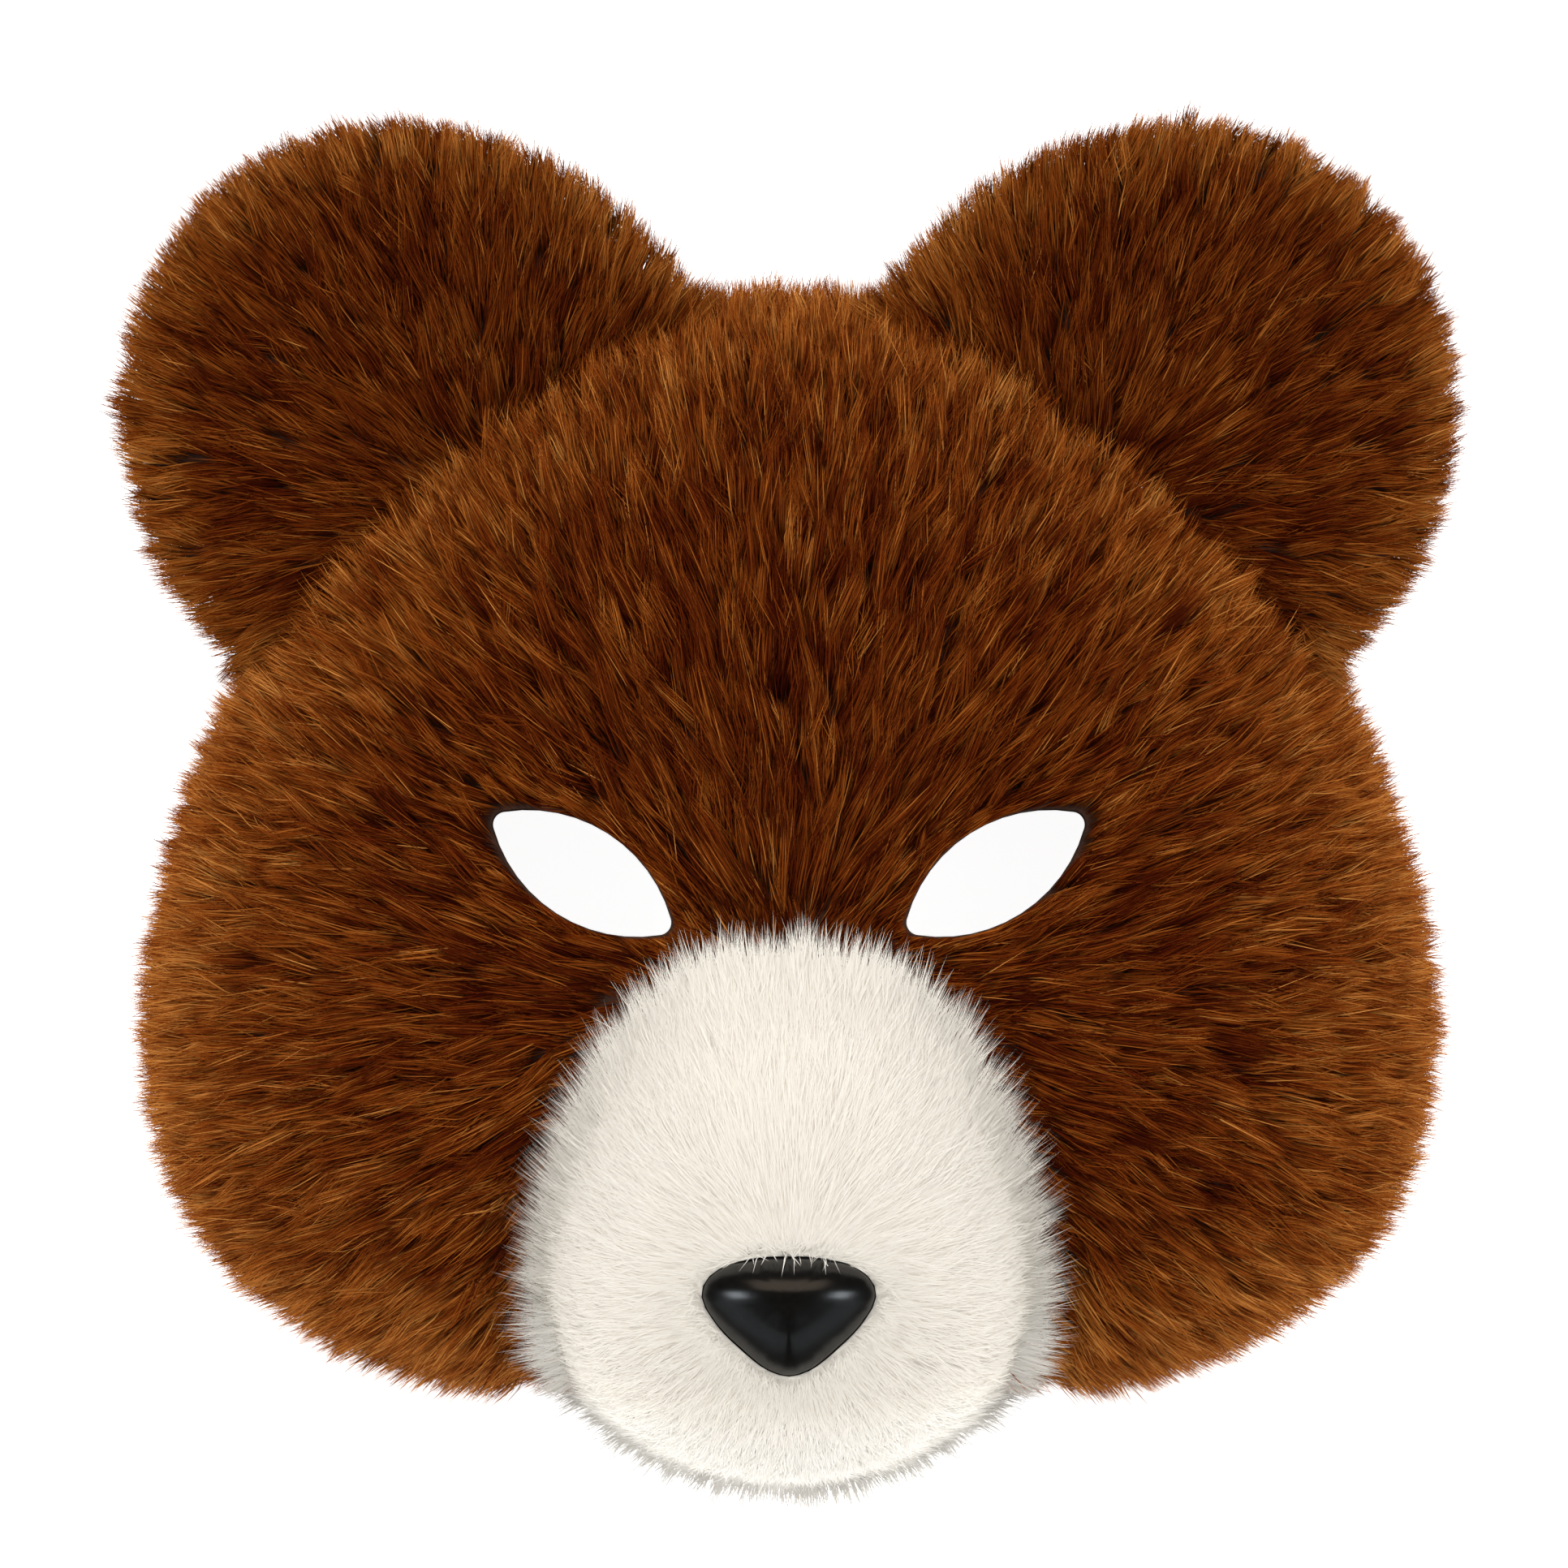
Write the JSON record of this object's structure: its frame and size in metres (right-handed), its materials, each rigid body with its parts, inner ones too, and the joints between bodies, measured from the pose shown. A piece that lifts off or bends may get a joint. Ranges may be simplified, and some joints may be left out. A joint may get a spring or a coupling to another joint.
{
  "type": "bear mask",
  "caption": "Fur-covered bear face mask, hollow behind, with two eye holes, round padded ears, a cream muzzle and a glossy plastic nose.",
  "frame": {"origin": "middle of the mask's length and width on the plane of its rim, where it rests", "axes": "+Z out of the face, +Y toward the top of the head, +X to the right of someone facing the mask"},
  "size_m": [0.2366, 0.2396, 0.0935],
  "materials": {
    "shell": "moulded, fine matt grain",
    "brown_fur": "deep pile faux fur, tips lighter",
    "cream_fur": "short dense pile faux fur",
    "ear_fur": "deep pile faux fur",
    "nose": "polished",
    "pin": "moulded"
  },
  "bodies": {
    "root": {"mask_shell": "shell", "face_fur": "brown_fur", "muzzle_fur": "cream_fur", "ear_left": "ear_fur", "ear_right": "ear_fur", "nose": "nose", "nose_pin": "pin"}
  },
  "joints": []
}
